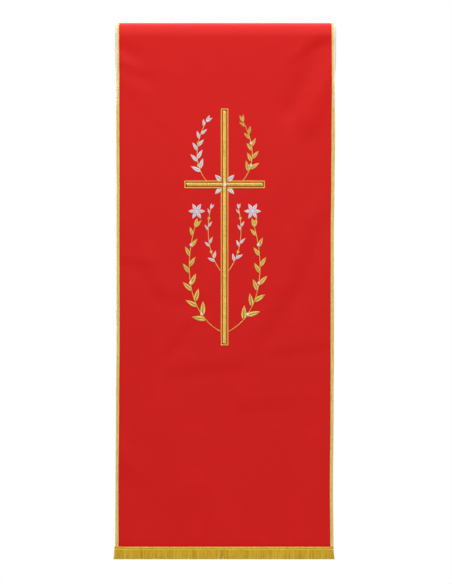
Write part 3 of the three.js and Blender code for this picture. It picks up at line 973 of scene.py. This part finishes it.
def fringe_heading():
    """A woven tape with two raised rows and a stitched groove between them."""
    random = np.random.default_rng(SEED + 5)
    mesh = Gatherer()
    levels = spaced(HEADING_TOP, HEADING_TOP + HEADING_HEIGHT + 0.5, 2.0)
    x, drop = np.meshgrid(spaced(HEADING_LEFT, HEADING_RIGHT, 8.0), levels)
    face, back = 0.75, 0.3
    mesh.add_slab(fringe_point(x, drop, face), fringe_point(x, drop, back), np.stack([x, drop], axis=-1))
    for row in WRAPPED_ROWS:
        wrapped_row(mesh, row, random)

    # A sewing thread in the groove, and cords along the tape's top and foot
    share = np.linspace(0, 1, 4)
    stitch_x = stitch_places(HEADING_LEFT + 2, HEADING_RIGHT - 2, HEADING_STITCH, share)
    paths = fringe_point(stitch_x, HEADING_TOP + GROOVE, 1.05 + 0.1 * np.sin(math.pi * share))
    mesh.add_threads(paths, OUT, HEADING_STITCH.half_width, HEADING_STITCH.half_height, 0.2, finish=2)
    twist_pitch = 3.0
    places = spaced(HEADING_LEFT + 0.3, HEADING_RIGHT - 0.3, twist_pitch / 3)
    turn = 2 * math.pi * places / twist_pitch
    for down, depth, radius, finish in [(0.5, 0.75, 0.42, 0), (ROW_FOOT + 0.25, 1.1, 0.4, 2)]:
        level = HEADING_TOP + down + 0.18 * np.sin(turn)
        paths = fringe_point(places, level, depth + 0.12 * np.cos(turn))[None]
        mesh.add_threads(paths, OUT, radius, radius, 0.5, finish=finish)

    # The tape's two ends: where each starts, its outer edge, and its top and foot below the heading's top
    for inner_x, outer_x, top, foot in [
        (HEADING_LEFT + 23, HEADING_LEFT - 0.4, -0.5, 4.3),
        (HEADING_RIGHT - 8, HEADING_RIGHT + 0.2, -0.3, 4.0),
    ]:
        turned_end(mesh, inner_x, outer_x, HEADING_TOP + top, HEADING_TOP + foot, random)
    materials = ["heading_pale_gold", "heading_yellow_gold", "fringe_gold", "turned_end_gold"]
    return mesh.build("fringe_heading", materials)


# The fringe's threads, in two layers: how many, how deep they lie, how far they bow out, how unevenly
# they are cut, and their tone. The rear layer's lower tone is painted shade behind the front threads.
SKIRT_LAYERS = [
    {"threads": 1000, "depth": 0.5, "bulge": 0.0, "cut": 0.2, "tone": 0.42},
    {"threads": 1300, "depth": 1.15, "bulge": 0.04, "cut": 0.15, "tone": 0.5},
]

# The clumps: how far apart they are, how much they differ, and how far they draw their threads in
CLUMPS = {"spacing": 2.6, "place": 0.6, "lean": 0.25, "tone": 0.09, "lift": 0.12, "pull": 0.08}

# The threads' tips sway to left and right along the fringe, and less near its ends
SWAY = 2.0
SWAY_LENGTH = 74.0
CALM_REACH = 12.0
THREAD_HALF_WIDTH = 0.44
THREAD_HALF_HEIGHT = 0.3


def clump_together(roots, random):
    """How far the clumps draw the threads' tips aside, and what they add to the tone and the depth."""
    width = HEADING_RIGHT - HEADING_LEFT
    count = round(width / CLUMPS["spacing"])
    places = HEADING_LEFT + width * (np.arange(count) + 0.5) / count
    places = places + random.normal(0, CLUMPS["place"], count)
    nearest = np.abs(roots[:, None] - places[None, :]).argmin(axis=1)
    parts = ("lean", "tone", "lift")
    lean, tone, lift = (random.normal(0, CLUMPS[part], count)[nearest] for part in parts)
    return CLUMPS["pull"] * (places[nearest] - roots) + lean, tone, lift


def fringe_skirt():
    """Fine threads that hang from the heading's foot in small leaning clumps."""
    random = np.random.default_rng(SEED + 6)
    mesh = Gatherer()
    width = HEADING_RIGHT - HEADING_LEFT
    tucked_in = 0.8
    top = HEADING_TOP + ROW_FOOT - tucked_in
    share = np.array([0, 0.04, 0.35, 0.7, 0.96, 1])
    for layer in SKIRT_LAYERS:
        number = layer["threads"]
        roots = HEADING_LEFT + width / number * (np.arange(number) + 0.5)
        roots = roots + random.normal(0, 0.12, number)
        pull, tone, lift = clump_together(roots, random)
        turn = math.pi * roots / SWAY_LENGTH
        sway = SWAY * (np.sin(2 * turn) + 0.5 * np.sin(5.3 * turn))
        left = TIP_SPREAD["left"] * np.exp((HEADING_LEFT - roots) / TIP_SPREAD_REACH)
        right = TIP_SPREAD["right"] * np.exp((roots - HEADING_RIGHT) / TIP_SPREAD_REACH)
        from_end = np.minimum(roots - HEADING_LEFT, HEADING_RIGHT - roots)
        calm = np.clip(from_end / CALM_REACH, 0, 1)
        tips = roots + (pull + sway) * calm + right - left + random.normal(0, 0.3, number)
        tip_drops = FRINGE_END - layer["cut"] * random.random(number)
        x = roots[:, None] + (tips - roots)[:, None] * share**1.4
        drop = top + (tip_drops - top)[:, None] * share
        root_depth = (layer["depth"] * (1 + lift))[:, None]
        depth = root_depth * (1 - 0.25 * share) + layer["bulge"] * np.sin(math.pi * share)
        depth = np.maximum(depth + random.normal(0, 0.06, (number, 1)), 0.3)
        tones = np.clip(layer["tone"] + tone + random.normal(0, 0.13, number), 0, 1)
        paths = fringe_point(x, drop, depth)
        mesh.add_threads(paths, OUT, THREAD_HALF_WIDTH, THREAD_HALF_HEIGHT, tones)
    return mesh.build("fringe_skirt", ["fringe_gold"])


# Pieces


sheet = cloth_sheet()
hem = hem_sewing()
left_braid = braid(-1, "braid_left_plaited")
right_braid = braid(1, "braid_right_plaited")
cross = cross_embroidery()
gold_sprays, silver_sprays = sprays()
heading = fringe_heading()
skirt = fringe_skirt()

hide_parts("cloth")
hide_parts("braid_left")
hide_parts("braid_right")
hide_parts("cross")
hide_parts("fringe")
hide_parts("fringe")


# The floor, the light and the camera


def studio_floor():
    """A plain pale round floor, well below the fringe."""
    recipe = Recipe("pale_floor", {"Roughness": 0.9, "Specular IOR Level": 0.2})
    grain = recipe.noise(40.0, 4.0, 0.6)
    recipe.connect("Base Color", recipe.ramp(grain, [(0.3, (0.46, 0.46, 0.455)), (0.7, (0.5, 0.5, 0.495))]))
    top, radius, thickness = -1.6, 0.8, 0.01
    bpy.ops.mesh.primitive_cylinder_add(vertices=96, radius=radius, depth=thickness)
    floor = bpy.context.object
    floor.name = "studio_floor"
    floor.location = (0, 0, top - thickness / 2)
    floor.data.materials.append(recipe.material)


def studio_world():
    """White to the camera. As light it is bright overhead and behind, and dim at the front horizon."""
    world = bpy.data.worlds.new("studio")
    bpy.context.scene.world = world
    world.use_nodes = True
    tree = world.node_tree
    tree.nodes.clear()

    node = partial(add_node, tree)
    place = node("ShaderNodeTexCoord").outputs["Generated"]
    parts = node("ShaderNodeSeparateXYZ", {0: place})

    def rising(part, start, end, low, high):
        reach = {"From Min": start, "From Max": end, "To Min": low, "To Max": high}
        inputs = {"Value": parts.outputs[part], **reach}
        return node("ShaderNodeMapRange", inputs, interpolation_type="SMOOTHSTEP").outputs[0]

    def background(colour, strength):
        return node("ShaderNodeBackground", {"Color": (*colour, 1), "Strength": strength}).outputs[0]

    around = background((1, 1, 1), rising("Y", -0.3, 0.3, 0.36, 0.8))
    behind, above = rising("Y", -0.1, 0.5, 0.15, 0.9), rising("Z", 0.2, 0.8, 0.0, 1.0)
    both = node("ShaderNodeMath", {0: behind, 1: above}, operation="MULTIPLY").outputs[0]
    lit = node("ShaderNodeAddShader", {0: around, 1: background((0.9, 0.93, 1.12), both)}).outputs[0]
    for_camera = node("ShaderNodeLightPath").outputs["Is Camera Ray"]
    mixed = node("ShaderNodeMixShader", {0: for_camera, 1: lit, 2: background((1, 1, 1), 1.0)})
    node("ShaderNodeOutputWorld", {"Surface": mixed.outputs[0]})


def area_light(name, place, aim, width, height, power, colour=(1, 1, 1)):
    """A plain softbox at place, facing aim, in metres."""
    data = bpy.data.lights.new(name, "AREA")
    data.shape = "RECTANGLE"
    data.size = width
    data.size_y = height
    data.energy = power
    data.color = colour
    light = bpy.data.objects.new(name, data)
    bpy.context.collection.objects.link(light)
    light.location = place
    direction = Vector(aim) - Vector(place)
    light.rotation_euler = direction.to_track_quat("-Z", "Y").to_euler()


COOL = (0.72, 0.95, 1.15)


def studio_lights():
    """A key above the camera, softboxes above and behind the top fold, and a strip on each side of it."""
    area_light("key", (0, -5.7, 4), (0, 0, -0.6), width=3, height=2.5, power=400)
    area_light("top", (0, -0.62, 0.95), (0, 0, -0.25), width=1.6, height=0.35, power=4)
    area_light("back", (0, 0.8, 2.1), (0, 0, 0), width=2.5, height=1, power=42, colour=COOL)
    for side in (-1, 1):
        place, aim = (side * 1.1, 0.3, -0.05), (side * 0.25, 0, -0.1)
        area_light(f"strip_{side}", place, aim, width=0.25, height=0.5, power=6)


CAMERA_DISTANCE = 8.0
FRAME_HEIGHT = 1.3354
SENSOR = 36.0
CAMERA_X = 0.0032
CAMERA_Z = -0.6134


def studio_camera():
    """Straight in front, at the middle of the fall's height."""
    data = bpy.data.cameras.new("camera")
    data.sensor_width = SENSOR
    data.lens = SENSOR * CAMERA_DISTANCE / FRAME_HEIGHT
    camera = bpy.data.objects.new("camera", data)
    bpy.context.collection.objects.link(camera)
    camera.location = (CAMERA_X, -CAMERA_DISTANCE, CAMERA_Z)
    camera.rotation_euler = (math.radians(90), 0, 0)
    bpy.context.scene.camera = camera


studio_floor()
studio_world()
studio_lights()
studio_camera()
bpy.context.scene.view_settings.view_transform = "Standard"
